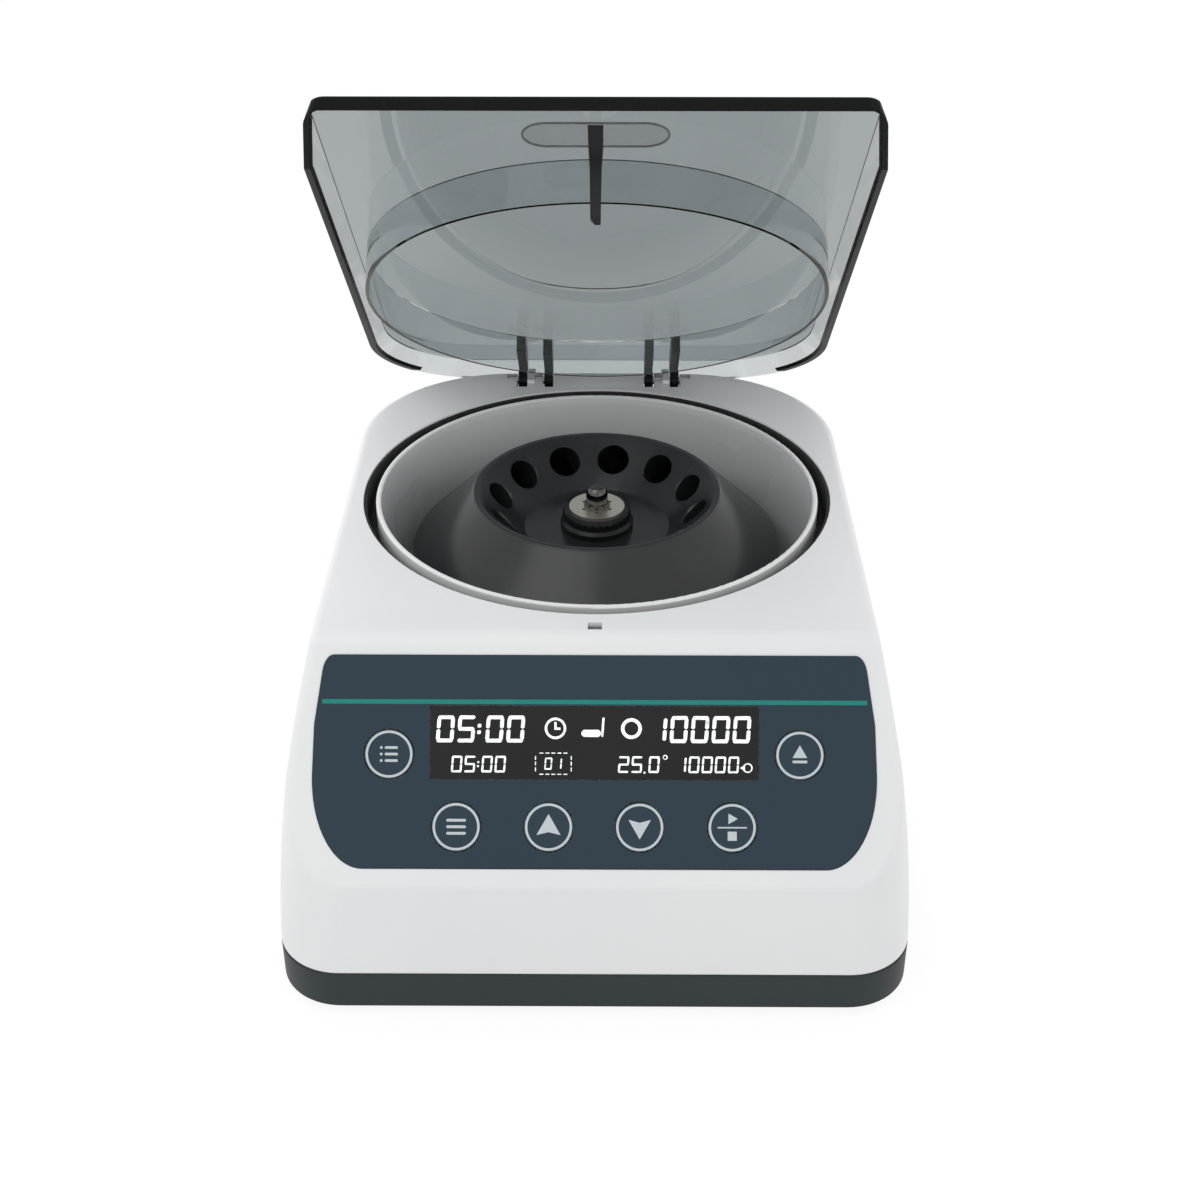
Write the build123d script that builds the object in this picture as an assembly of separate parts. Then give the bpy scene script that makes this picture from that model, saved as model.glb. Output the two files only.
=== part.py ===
from build123d import *
import math
import os

os.makedirs("parts", exist_ok=True)

# Bench centrifuge for twelve small tubes. Millimetres, +Z up, the front towards -Y.
# The pieces are drawn round the rotor's axis and moved together at the end, so that
# the origin is on the bench under the middle of the whole instrument.

# --- Main sizes ---
top_z = 114.5  # top face of the housing
seam_z = 16.9  # where the housing meets the base tray
foot_height = 3.0
shell_wall = 2.8

# plan of the case at the seam and at the top face
seam_half_x = 101.7
top_half_x = 87.9
seam_front_y = -141.0
top_front_y = -132.5
seam_rear_y = 106.0
top_rear_y = 99.0
front_corner_r = 21.0
seam_rear_corner_r = 60.0
top_rear_corner_r = 55.0

# sloping control panel
crease_y = -93.8  # edge between the top face and the slope
crease_r = 7.0
panel_slope = 55.3  # degrees from level
panel_wall = 3.0

# bowl and rotor
mouth_r = 82.0  # round opening in the top face
rim_out_r = 77.7
rim_in_r = 75.8
bowl_floor_z = top_z - 50.0
pocket_count = 12
pocket_r = 5.6  # takes a 10.8 mm tube
pocket_circle_r = 34.5
pocket_mouth_z = top_z - 5.6
pocket_tilt = 45.0
pocket_first = 9.6  # degrees from the back, clockwise
shaft_r = 4.0
well_floor_z = top_z - 14.0  # floor of the hollow in the rotor

# lid
hinge_y = 96.4
hinge_z = top_z - 2.8
lid_open = 44.1  # degrees that the lid is stored open
lid_half_x = 87.7
lid_rim_z = top_z + 0.5  # rim of the closed lid
lid_under_z = top_z + 7.1
lid_over_z = top_z + 10.6
lid_side_draft = 0.52  # across, for each millimetre of height
lid_rear_draft = 0.07
lid_wall = 2.0
collar_out_r = 79.8
collar_in_r = 78.6
collar_end_z = top_z - 7.0
arm_places = (-30.2, -20.0, 20.0, 30.2)
arm_width = 3.4

# keys on the slope: across, and down the slope from the crease
key_places = {
    "key_program": (-63.2, 36.95),
    "key_open": (63.2, 36.95),
    "key_menu": (-42.4, 59.15),
    "key_up": (-14.0, 59.15),
    "key_down": (14.0, 59.15),
    "key_start": (42.4, 59.15),
}
key_r = 7.6
key_gap = 0.3


# the rotor's axis ends up this far behind the origin
rotor_axis_y = 15.61


# --- Small helpers ---
def disc(r, low, high, x=0.0, y=0.0):
    return Pos(x, y, (low + high) / 2) * Cylinder(r, high - low)


def tube(r_out, r_in, low, high, x=0.0, y=0.0):
    return disc(r_out, low, high, x, y) - disc(r_in, low - 1, high + 1, x, y)


def block(x0, x1, y0, y1, z0, z1):
    middle = Pos((x0 + x1) / 2, (y0 + y1) / 2, (z0 + z1) / 2)
    return middle * Box(x1 - x0, y1 - y0, z1 - z0)


def turned(points):
    # solid of revolution from (radius, height) corners
    outline = Polyline(*[(r, 0, z) for r, z in points], close=True)
    return revolve(make_face(outline), Axis.Z)


def side_prism(points, half_x):
    # prism across the case from (y, z) corners
    outline = Polyline(*[(-half_x, y, z) for y, z in points], close=True)
    return extrude(make_face(outline), amount=2 * half_x, dir=(1, 0, 0))


def group(parts):
    return Compound(children=[solid for part in parts for solid in part.solids()])


def plan_face(z, half_x, front_y, rear_y, front_r, rear_r):
    face = Pos(0, (front_y + rear_y) / 2, z) * Rectangle(2 * half_x, rear_y - front_y)
    face = fillet(face.vertices().sort_by(Axis.Y)[:2], front_r)
    return fillet(face.vertices().sort_by(Axis.Y)[-2:], rear_r)


def between(z, at_seam, at_top):
    return at_seam + (at_top - at_seam) * (z - seam_z) / (top_z - seam_z)


def case_section(z, inset):
    # the sides are slightly full: they fall in faster near the top
    front_r = front_corner_r - inset
    rear_r = between(z, seam_rear_corner_r, top_rear_corner_r) - inset
    drop = (top_z - z) / (top_z - seam_z)
    full = 1.7 * drop - 0.7 * drop ** 2
    return plan_face(
        z,
        top_half_x + (seam_half_x - top_half_x) * full - inset,
        between(z, seam_front_y, top_front_y) + inset,
        between(z, seam_rear_y, top_rear_y) - inset,
        front_r,
        rear_r,
    )


def case_block(low, high, inset, slope_inset):
    # drafted body of the case cut by the sloping panel
    levels = [low + (high - low) * step / 4 for step in range(5)]
    body = loft([case_section(z, inset) for z in levels])
    run = 70.0
    drop = run * math.tan(math.radians(panel_slope))
    shift = slope_inset / math.sin(math.radians(panel_slope))
    level = top_z + 5
    ahead = 5 / math.tan(math.radians(panel_slope))
    side = [
        (crease_y + shift + ahead, level),
        (crease_y + shift - run, top_z - drop),
        (crease_y - run, low - 5),
        (160, low - 5),
        (160, level),
    ]
    return body & side_prism(side, 130)


def on_panel(x, down, height):
    # place on the slope: height is measured outwards from its face
    return panel * Pos(x, -down, height)


def panel_disc(r, low, high, x, down):
    return on_panel(x, down, (low + high) / 2) * Cylinder(r, high - low)


def panel_block(x0, x1, down0, down1, low, high, corner=0.0):
    sheet = Rectangle(x1 - x0, down1 - down0)
    if corner:
        sheet = RectangleRounded(x1 - x0, down1 - down0, corner)
    solid = extrude(sheet, amount=high - low)
    return on_panel((x0 + x1) / 2, (down0 + down1) / 2, low) * solid


def opened(part):
    return part.rotate(Axis((0, hinge_y, hinge_z), (1, 0, 0)), -lid_open)


def lid_y(reach):
    # place in front of the hinge, on the closed lid
    return hinge_y - reach


slope_cos = math.cos(math.radians(panel_slope))
slope_sin = math.sin(math.radians(panel_slope))
panel = Plane(origin=(0, crease_y, top_z), x_dir=(1, 0, 0), z_dir=(0, -slope_sin, slope_cos))

rear_lean = math.atan((seam_rear_y - top_rear_y) / (top_z - seam_z))
socket_z = 34.0
socket_y = between(socket_z, seam_rear_y, top_rear_y)
rear_out = (0, math.cos(rear_lean), math.sin(rear_lean))
inlet_plane = Plane(origin=(32, socket_y, socket_z), x_dir=(-1, 0, 0), z_dir=rear_out)
switch_plane = Plane(origin=(-32, socket_y, socket_z), x_dir=(-1, 0, 0), z_dir=rear_out)

nodes = {}

# --- Base tray ---
pan_low = foot_height
pan_floor_top = pan_low + 2.5
pan_outer = extrude(case_section(seam_z, 0), amount=pan_low - seam_z, dir=(0, 0, 1))
pan_outer = chamfer(pan_outer.edges().group_by(Axis.Z)[0], 0.5)
pan_outer = chamfer(pan_outer.edges().group_by(Axis.Z)[-1], 0.6)
pan_inner = extrude(case_section(pan_floor_top, shell_wall), amount=20, dir=(0, 0, 1))
base_pan = pan_outer - pan_inner
housing_posts = [(-88.0, -112.0), (88.0, -112.0), (-80.0, 76.0), (80.0, 76.0)]
damper_places = [(-50.0, -50.0), (50.0, -50.0), (-50.0, 50.0), (50.0, 50.0)]
foot_places = [(-76.0, -118.0), (76.0, -118.0), (-70.0, 78.0), (70.0, 78.0)]
for x, y in damper_places:
    base_pan += disc(6.0, pan_low + 1, 42.0, x, y)
    base_pan -= disc(2.1, 26.0, 43.0, x, y)
board_spots = [(sx * bx, sy * 54.0) for sx in (-1, 1) for bx in (64.0, 86.0) for sy in (-1, 1)]
for x, y in board_spots:
    base_pan += disc(3.2, pan_low + 1, 11.0, x, y)
    base_pan -= disc(1.35, pan_floor_top, 12.0, x, y)
for x, y in housing_posts:
    base_pan += disc(6.0, pan_low + 1, 14.0, x, y)
    base_pan -= disc(4.0, pan_low - 1, 8.0, x, y)
    base_pan -= disc(2.1, pan_low - 1, 15.0, x, y)
for x, y in foot_places:
    base_pan -= disc(9.3, pan_low - 1, pan_low + 1.2, x, y)
for side in (-1, 1):
    for step in range(7):
        slot = Pos(side * 22.0, -54.0 + 18.0 * step, pan_low) * SlotOverall(26, 4)
        base_pan -= extrude(slot, amount=6, both=True)
nodes["base_pan"] = base_pan

foot = turned([(0, 0), (7.6, 0), (9, 1.2), (9, foot_height + 1.2), (0, foot_height + 1.2)])
nodes["rubber_feet"] = group([Pos(x, y, 0) * foot for x, y in foot_places])

# --- Upper housing ---
housing_outer = case_block(seam_z, top_z, 0, 0)
crease_edges = housing_outer.edges().filter_by(Axis.X)
top_crease = crease_edges.filter_by_position(Axis.Y, crease_y - 0.1, crease_y + 0.1)
housing_outer = fillet(top_crease, crease_r)


def soft_edge(edge):
    # outline of the slope and of the top face, but not the crease between them
    middle = edge.center()
    on_slope = abs(panel.to_local_coords(middle).Z) < 0.35 and middle.Y < crease_y - 3
    return on_slope or (abs(middle.Z - top_z) < 0.01 and middle.Y > crease_y + 5)


housing_outer = fillet(housing_outer.edges().filter_by(soft_edge), 3.0)
housing_outer = fillet(housing_outer.edges().group_by(Axis.Z)[0], 0.9)
cavity = case_block(seam_z - 6, top_z - shell_wall, shell_wall, panel_wall)
upper_housing = housing_outer - cavity

# turned-down lip round the bowl's mouth
upper_housing += tube(mouth_r + 2.5, mouth_r, top_z - 11.3, top_z - 1)
upper_housing -= disc(mouth_r, top_z - 30, top_z + 5)

# posts for the long screws, bowl bosses and lock bosses, all moulded to the shell
bowl_ears = [(sx * 65.0, sy * 65.0) for sx in (-1, 1) for sy in (-1, 1)]
lock_spots = [(46.0, -91.5), (46.0, -85.5)]
posts = [disc(5.0, 14.2, 90.0, x, y) for x, y in housing_posts]
posts += [disc(4.2, top_z - 11.3, top_z - 1, x, y) for x, y in bowl_ears]
posts += [disc(2.6, top_z - 19.0, top_z - 1, x, y) for x, y in lock_spots]
for post in posts:
    upper_housing += post & housing_outer
for x, y in housing_posts:
    upper_housing -= disc(1.7, 14.0, 34.0, x, y)
for x, y in bowl_ears:
    upper_housing -= disc(1.35, top_z - 12.0, top_z - 4.0, x, y)
for x, y in lock_spots:
    upper_housing -= disc(1.0, top_z - 20.0, top_z - 9.0, x, y)

# board bosses inside the slope
board_bosses = [(-70.0, 25.15), (70.0, 25.15), (-70.0, 67.15), (70.0, 67.15)]
for x, down in board_bosses:
    upper_housing += panel_disc(3.0, -13.2, -2.0, x, down)
    upper_housing -= panel_disc(1.0, -14.0, -4.5, x, down)

# hinges: a slot for each arm, a trough for the pin and a lug beside the outer arm
for side in (-1, 1):
    walls = block(side * 27 - 13, side * 27 + 13, 82.4, 110, top_z - 10.2, top_z - 1)
    upper_housing += walls & housing_outer
    upper_housing -= block(side * 27.2 - 9.1, side * 27.2 + 9.1, 92.0, 98.0, top_z - 4.6, top_z + 5)
    for x in arm_places:
        if x * side > 0:
            upper_housing -= block(x - 2.1, x + 2.1, 84.6, 120, top_z - 7.6, top_z + 5)
    upper_housing += block(side * 26.7 - 1.4, side * 26.7 + 1.4, 88.0, 98.4, top_z - 8.5, top_z + 1.2)
pin_bore = Pos(0, hinge_y, hinge_z) * Rot(0, 90, 0) * Cylinder(1.42, 77.2)
upper_housing -= pin_bore - block(-15.8, 15.8, 80, 120, top_z - 20, top_z + 20)

# slot for the lid's hook, with room for its liner below the surface
slot_y0 = lid_y(187.1)
slot_y1 = lid_y(183.2)
upper_housing -= block(-2.2, 2.2, slot_y0, slot_y1, top_z - 20, top_z + 5)
upper_housing -= block(-2.85, 2.85, slot_y0 - 0.75, slot_y1 + 0.75, top_z - 20, top_z - 1.5)


# recess for the printed sheet, window and key openings
def overlay_sheet(grow, low, high):
    # drawn in plan, where it follows the walls of the case
    upper_y = crease_y - 6.75 * slope_cos + grow
    lower_y = crease_y - 71.85 * slope_cos - grow
    half = [(83.2 + grow, upper_y), (86.3 + grow, -109.7), (87.7 + grow, lower_y)]
    outline = half + [(-x, y) for x, y in reversed(half)]
    sheet = make_face(Polyline(*outline, close=True))
    sheet = fillet(sheet.vertices().sort_by(Axis.Y)[:2], 15.5 + grow)
    sheet = fillet(sheet.vertices().sort_by(Axis.Y)[-2:], 3.6)
    return extrude(sheet, amount=130) & panel_block(-100, 100, 0, 80, low, high)


window_low, window_high = 22.15, 44.55
upper_housing -= overlay_sheet(0.15, -0.6, 3)
upper_housing -= panel_block(-50.6, 50.6, window_low - 0.1, window_high + 0.1, -1.5, 3)
upper_housing -= panel_block(-48.5, 48.5, window_low + 2, window_high - 2, -5, 3)
for x, down in key_places.values():
    upper_housing -= panel_disc(key_r + key_gap + 0.1, -2.2, 3, x, down)
    upper_housing -= panel_disc(3.2, -6, 3, x, down)

# openings in the back wall
upper_housing -= inlet_plane * Box(28.2, 20.4, 20)
upper_housing -= switch_plane * Box(20.4, 14.4, 20)
nodes["upper_housing"] = upper_housing

long_screws = []
for x, y in housing_posts:
    long_screws.append(disc(3.6, 5.6, 8.0, x, y) + disc(1.65, 7.0, 32.0, x, y))
nodes["housing_screws"] = group(long_screws)

# --- Control panel ---
overlay = overlay_sheet(0, -0.6, 0.3)
overlay -= panel_block(-50.7, 50.7, window_low - 0.2, window_high + 0.2, -2, 2)
for x, down in key_places.values():
    overlay -= panel_disc(key_r + key_gap, -2, 2, x, down)
nodes["control_overlay"] = overlay

nodes["display_window"] = panel_block(-50.5, 50.5, window_low, window_high, -1.5, 0.2)
display = panel_block(-52, 52, 20.65, 46.05, -9.4, -3.2)
display -= panel_block(-48.5, 48.5, window_low + 2, window_high - 2, -3.7, -3)
for down in (24.15, 42.55):
    display += panel_block(-40, 40, down - 1.2, down + 1.2, -13.2, -9)
nodes["display_module"] = display

for name, (x, down) in key_places.items():
    cap = panel_disc(key_r, -1.3, 0.5, x, down)
    cap = fillet(cap.edges().sort_by(lambda e: panel.to_local_coords(e.center()).Z)[-1], 0.3)
    nodes[name] = cap + panel_disc(2.8, -8.0, -1.0, x, down)

board = panel_block(-76, 76, 20.15, 72.15, -14.8, -13.2)
for x, down in board_bosses:
    board -= panel_disc(1.4, -16, -12, x, down)
nodes["control_board"] = board

switches = []
for x, down in key_places.values():
    body = panel_block(x - 3, x + 3, down - 3, down + 3, -13.2, -9.9)
    switches.append(body + panel_disc(1.6, -10.5, -8.9, x, down))
nodes["key_switches"] = group(switches)

small_screws = []
for x, down in board_bosses:
    shank = panel_disc(0.95, -14.8, -6.0, x, down)
    small_screws.append(shank + panel_disc(2.2, -16.4, -14.8, x, down))
nodes["board_screws"] = group(small_screws)

# --- Bowl ---
bowl = turned([
    (rim_out_r, top_z - 3), (rim_out_r, top_z - 11.5), (84.3, top_z - 11.5), (84.3, top_z - 14),
    (rim_out_r - 0.3, top_z - 14), (75.4, bowl_floor_z + 4), (71.0, bowl_floor_z - 2.2),
    (9.9, bowl_floor_z - 2.2), (9.9, bowl_floor_z + 8), (12.0, bowl_floor_z + 8),
    (12.0, bowl_floor_z), (69.5, bowl_floor_z), (73.2, bowl_floor_z + 4.5),
    (rim_in_r, top_z - 3)])
for x, y in bowl_ears:
    ear = Pos(x * 0.94, y * 0.94, top_z - 12.75) * Rot(0, 0, math.degrees(math.atan2(y, x)))
    bowl += ear * Box(12, 11, 2.5) - disc(83, top_z - 20, top_z)
    bowl += disc(5.5, top_z - 14, top_z - 11.5, x, y)
    bowl -= disc(1.7, top_z - 20, top_z - 9, x, y)
nodes["bowl"] = bowl

rim = turned([(rim_in_r, top_z - 3), (rim_out_r, top_z - 3), (rim_out_r, top_z),
              (rim_in_r, top_z)])
nodes["bowl_rim"] = fillet(rim.edges().group_by(Axis.Z)[-1], 0.7)
nodes["bowl_seal"] = turned([
    (78.0, top_z - 11.5), (81.9, top_z - 11.5), (81.9, top_z - 0.6), (81.2, top_z - 0.6),
    (80.9, top_z - 1.2), (80.9, top_z - 8.2), (79.6, top_z - 7.6), (78.0, top_z - 8.2)])
ear_screws = []
for x, y in bowl_ears:
    head = disc(2.8, top_z - 16.2, top_z - 14, x, y)
    ear_screws.append(head + disc(1.3, top_z - 14.5, top_z - 5, x, y))
nodes["bowl_screws"] = group(ear_screws)

# --- Motor ---
plate_z = 50.0
plate = extrude(Pos(0, 0, plate_z) * RectangleRounded(120, 120, 10), amount=2.5)
plate -= disc(14.3, plate_z - 1, plate_z + 4)
motor_bolts = [(22 * math.cos(a), 22 * math.sin(a)) for a in (0.7854, 2.3562, 3.927, 5.4978)]
for x, y in damper_places + motor_bolts:
    plate -= disc(2.3, plate_z - 1, plate_z + 4, x, y)
nodes["motor_plate"] = plate

dampers = []
for x, y in damper_places:
    bead = turned([(2.3, 42), (8, 42), (8, 44), (6.6, 46), (8, 48), (8, 50), (2.3, 50)])
    dampers.append(Pos(x, y, 0) * bead)
nodes["plate_dampers"] = group(dampers)
nodes["plate_screws"] = group([
    disc(4.2, 52.5, 55.3, x, y) + disc(2.0, 28.0, 53.0, x, y) for x, y in damper_places])

nodes["motor_can"] = turned([
    (6.0, 14), (32, 14), (32, 45.9), (30, 45.9), (30, 16), (13, 16), (13, 24), (11.05, 24),
    (11.05, 16.9), (6.0, 16.9)])
cap = turned([
    (11.05, 46), (32, 46), (32, plate_z), (14, plate_z), (14, 59.5), (6, 59.5), (6, 58.6),
    (11.05, 58.6)])
for x, y in motor_bolts:
    cap -= disc(2.05, 40, 56, x, y)
nodes["motor_cap"] = cap
stator = tube(29.9, 26.5, 26, 42)
for step in range(9):
    tooth = block(21.9, 27.5, -2.2, 2.2, 27, 41) + block(22.8, 25.9, -4.0, 4.0, 28.5, 39.5)
    stator += tooth.rotate(Axis.Z, 40 * step)
nodes["motor_stator"] = stator
nodes["motor_armature"] = tube(21.4, shaft_r + 0.02, 26.5, 41.5)
nodes["motor_shaft"] = disc(shaft_r, 12.4, top_z - 10.5) + disc(3.0, top_z - 11, top_z - 3.2)
nodes["shaft_bearings"] = group([
    tube(11.0, shaft_r + 0.05, 17.0, 24.0), tube(11.0, shaft_r + 0.05, 51.5, 58.5)])
nodes["motor_screws"] = group([
    disc(3.6, 52.5, 55.0, x, y) + disc(2.0, 46.2, 53.0, x, y) for x, y in motor_bolts])
nodes["shaft_boot"] = turned([
    (7.4, 60.5), (9.8, 60.5), (9.8, 73.5), (7.4, 73.5), (7.4, 71.5), (8.4, 70.5), (8.4, 63.5),
    (7.4, 62.5)])

# --- Rotor ---
hub_low = top_z - 34.0
nodes["drive_hub"] = turned([
    (shaft_r + 0.02, 61.5), (7.0, 61.5), (7.0, 76.5), (12.0, 77.5), (12.0, hub_low),
    (shaft_r + 0.02, hub_low)])
rotor = turned([
    (shaft_r + 0.05, hub_low), (14.0, hub_low), (14.0, top_z - 18.2), (33.0, top_z - 18.2),
    (54.8, top_z - 40.0), (63.5, top_z - 40.0), (66.0, top_z - 37.5), (66.0, top_z - 21.6),
    (65.3, top_z - 20.3), (44.1, top_z + 0.1), (43.4, top_z + 0.6), (42.6, top_z + 0.7),
    (41.6, top_z + 0.6), (40.9, top_z), (25.8, well_floor_z), (shaft_r + 0.05, well_floor_z)])
pocket = Pos(0, 0, -15.0) * Cylinder(pocket_r, 38)
pocket += Pos(0, 0, -34.0 - 1.9) * Cone(2.8, pocket_r, 3.8)
pocket += Pos(0, 0, 0.25) * Cone(pocket_r, pocket_r + 0.9, 1.5)
for step in range(pocket_count):
    turn = Rot(0, 0, -(pocket_first + 360 / pocket_count * step))
    mouth = Pos(0, pocket_circle_r, pocket_mouth_z) * Rot(pocket_tilt, 0, 0)
    rotor -= turn * mouth * pocket
nodes["rotor"] = rotor

knob = turned([
    (shaft_r + 0.05, well_floor_z), (12.9, well_floor_z), (12.9, top_z - 12.0),
    (12.1, top_z - 11.3), (11.7, top_z - 10.9), (12.1, top_z - 10.5), (12.1, top_z - 8.6),
    (11.7, top_z - 7.7), (10.8, top_z - 7.2), (shaft_r + 0.05, top_z - 7.2)])
for step in range(30):
    rib_cut = disc(0.45, top_z - 10.4, top_z - 7, 12.3, 0)
    knob -= rib_cut.rotate(Axis.Z, 12 * step)
nodes["rotor_collar"] = knob
washer = tube(9.8, 3.1, top_z - 7.2, top_z - 6.4)
for step in range(6):
    washer -= disc(0.6, top_z - 8, top_z - 5, 5.4, 0).rotate(Axis.Z, 60 * step + 30)
nodes["collar_disc"] = washer
hexagon = extrude(Pos(0, 0, top_z - 6.4) * RegularPolygon(4.6, 6), amount=1.7)
dome = turned([(0, top_z - 4.7), (3.85, top_z - 4.7), (3.85, top_z - 1.85), (0, top_z - 1.85)])
dome += (Pos(0, 0, top_z - 1.85) * Sphere(3.85)) & disc(5, top_z - 1.85, top_z + 6)
nodes["rotor_nut"] = hexagon + dome - disc(3.05, top_z - 8, top_z - 3)


# --- Lid, drawn closed and then opened ---
def lid_block(low, high, inset, front_low, front_high):
    # plan narrows towards the top
    def section(z, front_reach, front_r):
        rise = z - lid_rim_z
        half = lid_half_x - inset - lid_side_draft * rise
        rear = lid_y(-6.6 + inset) - lid_rear_draft * rise
        return plan_face(z, half, lid_y(front_reach), rear, front_r, 38 - inset)

    corner = 5.0 - inset
    return loft([section(low, front_low, corner), section(high, front_high, corner)], ruled=True)


def lid_side(points):
    return side_prism([(lid_y(reach), top_z + rise) for reach, rise in points], 130)


lid_outer = lid_block(lid_rim_z, lid_over_z, 0, 203.2, 209.6)
top_edges = lid_outer.edges().group_by(Axis.Z)[-1]
lid_outer = fillet(top_edges, 0.5)
lid_inner = lid_block(lid_rim_z - 1, lid_under_z, lid_wall, 207.2, 207.2)
chin = lid_side([(183.0, 0.5), (207.4, 7.1), (232, 13.75), (232, -10), (183.0, -10)])
lid_skin = lid_outer - lid_inner - chin

# black strip along the rim, over the sides and the front lip
strip_region = lid_side([
    (2.5, -5), (2.5, 1.8), (183.0, 1.8), (201.5, 6.8), (206.9, 6.9), (207.3, 12.5), (232, 12.5),
    (232, -5)])
nodes["lid_edge_trim"] = opened(lid_skin & strip_region)
lid_shell = lid_skin - strip_region

# raised arch on top of the lid
arch_points = [(62.5, 212.0), (57.5, 148.0), (45.0, 100.0), (22.0, 66.5)]
arch_line = [(-x, lid_y(reach)) for x, reach in arch_points]
arch_line += [(x, lid_y(reach)) for x, reach in reversed(arch_points)]
arch_face = make_face(Polyline(*arch_line, close=True))
for x, radius in ((57.5, 150), (45.0, 100), (22.0, 40)):
    bends = [v for v in arch_face.vertices() if abs(abs(v.X) - x) < 0.01]
    arch_face = fillet(bends, radius)


def arch_slab(low_inset, high_inset, low, high):
    # the arch's area as a slab with sloping sides
    faces = []
    for inset, z in ((low_inset, low), (high_inset, high)):
        faces.append(Pos(0, 0, z) * (offset(arch_face, -inset) if inset else arch_face))
    return loft(faces, ruled=True)


ridge = arch_slab(0.1, 1.5, lid_over_z - 0.02, lid_over_z + 0.08)
ridge -= arch_slab(3.8, 2.4, lid_over_z - 0.02, lid_over_z + 0.08)
ridge -= block(-70, 70, lid_y(230), lid_y(206.5), lid_over_z - 2, lid_over_z + 2)
lid_shell += ridge
nodes["lid_shell"] = opened(lid_shell)

nodes["lid_collar"] = opened(tube(collar_out_r, collar_in_r, collar_end_z, lid_under_z))

pad = extrude(Pos(0, lid_y(189.0), lid_over_z) * RectangleRounded(44.5, 15.5, 7.7), amount=0.5)
nodes["press_pad"] = opened(fillet(pad.edges().group_by(Axis.Z)[-1], 0.3))

hook = lid_side([
    (183.8, 7.1), (198.4, 7.1), (193.0, 4.6), (186.6, 1.6), (186.2, -16.4), (185.2, -18.4),
    (183.9, -16.8)])
taper = Polyline(*[(x, lid_y(200), top_z + rise) for x, rise in (
    (-2.3, 7.1), (2.3, 7.1), (1.8, 0), (1.55, -19), (0.3, -19), (-1.55, -16.4), (-1.8, 0))],
    close=True)
hook &= extrude(make_face(taper), amount=30, dir=(0, 1, 0))
hook -= block(-5, 5, lid_y(184.95), lid_y(180), top_z - 14.7, top_z - 11.5)
nodes["latch_hook"] = opened(hook)

arms = []
for x in arm_places:
    arm = side_prism(
        [(lid_y(-2.7), hinge_z), (lid_y(-2.7), top_z + 5.0), (lid_y(-2.0), lid_under_z),
         (lid_y(25.0), lid_under_z), (lid_y(25.0), top_z + 1.0), (lid_y(3.4), top_z + 1.0),
         (lid_y(3.4), hinge_z)], arm_width / 2)
    arm += Pos(0, hinge_y, hinge_z) * Rot(0, 90, 0) * Cylinder(3.4, arm_width)
    arm -= Pos(0, hinge_y, hinge_z) * Rot(0, 90, 0) * Cylinder(1.46, 9)
    arms.append(Pos(x, 0, 0) * arm - disc(collar_out_r + 0.05, top_z - 20, top_z + 20))
nodes["hinge_brackets"] = opened(group(arms))
nodes["hinge_pins"] = group([
    Pos(side * 27.2, hinge_y, hinge_z) * Rot(0, 90, 0) * Cylinder(1.4, 22.4) for side in (-1, 1)])

# --- Lid lock ---
liner = block(-2.8, 2.8, slot_y0 - 0.7, slot_y1 + 0.7, top_z - 9, top_z - 1.5)
liner -= block(-2.2, 2.2, slot_y0, slot_y1, top_z - 20, top_z + 5)
nodes["latch_bezel"] = liner
nodes["latch_bolt"] = block(3.4, 13.4, lid_y(184.7), lid_y(182.6), top_z - 14.2, top_z - 12.0) \
    + (Pos(18.0, lid_y(184.5), top_z - 15.4) * Rot(0, 90, 0) * Cylinder(2.4, 10.0))
coil = block(14.0, 38.0, -94.3, -84.9, top_z - 19.0, top_z - 12.1)
coil -= Pos(20.0, lid_y(184.5), top_z - 15.4) * Rot(0, 90, 0) * Cylinder(2.7, 15.0)
coil -= block(10.0, 20.0, lid_y(185.3), lid_y(182.2), top_z - 15, top_z - 11.6)
nodes["latch_solenoid"] = coil
lock_plate = block(12.0, 50.0, -94.3, -83.0, top_z - 20.2, top_z - 19.0)
for x, y in lock_spots:
    lock_plate -= disc(1.3, top_z - 22, top_z - 18, x, y)
nodes["latch_bracket"] = lock_plate
nodes["latch_screws"] = group([
    disc(2.0, top_z - 21.8, top_z - 20.2, x, y) + disc(0.95, top_z - 20.5, top_z - 10, x, y)
    for x, y in lock_spots])

# --- Power inlet and switch on the back ---
flange = extrude(RectangleRounded(33, 26, 3), amount=2.4)
socket = inlet_plane * (flange + Pos(0, 0, -9) * Box(27.8, 20.0, 18))
socket -= inlet_plane * Pos(0, 0, -6.5) * Box(24.4, 16.4, 20)
pins = []
for x, y in ((-7, -2), (0, 2), (7, -2)):
    socket -= inlet_plane * Pos(x, y, -12.0) * Box(2.1, 4.1, 17)
    pins.append(inlet_plane * Pos(x, y, -11.0) * Box(2, 4, 17))
nodes["mains_inlet"] = socket
nodes["inlet_pins"] = group(pins)
switch_frame = extrude(RectangleRounded(24, 18, 2), amount=1.8)
switch_frame = switch_plane * (switch_frame + Pos(0, 0, -7) * Box(20.0, 14.0, 14))
switch_frame -= switch_plane * Pos(0, 0, -4.5) * Box(17.6, 11.6, 14)
rocker_axis = switch_plane * Pos(0, 0, -2.0)
switch_frame -= rocker_axis * Rot(90, 0, 0) * Cylinder(1.25, 13.4)
nodes["power_switch_frame"] = switch_frame
rocker_outline = Polyline((-7.2, -4.6), (7.2, -4.6), (8.0, 2.6), (0, 1.2), (-8.0, 2.6), close=True)
rocker = extrude(make_face(rocker_outline), amount=5.5, both=True)
rocker = Pos(0, 0, 2.0) * Rot(90, 0, 0) * rocker + Rot(90, 0, 0) * Cylinder(1.2, 13.2)
nodes["power_rocker"] = rocker_axis * Rot(0, -10, 0) * rocker

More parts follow.
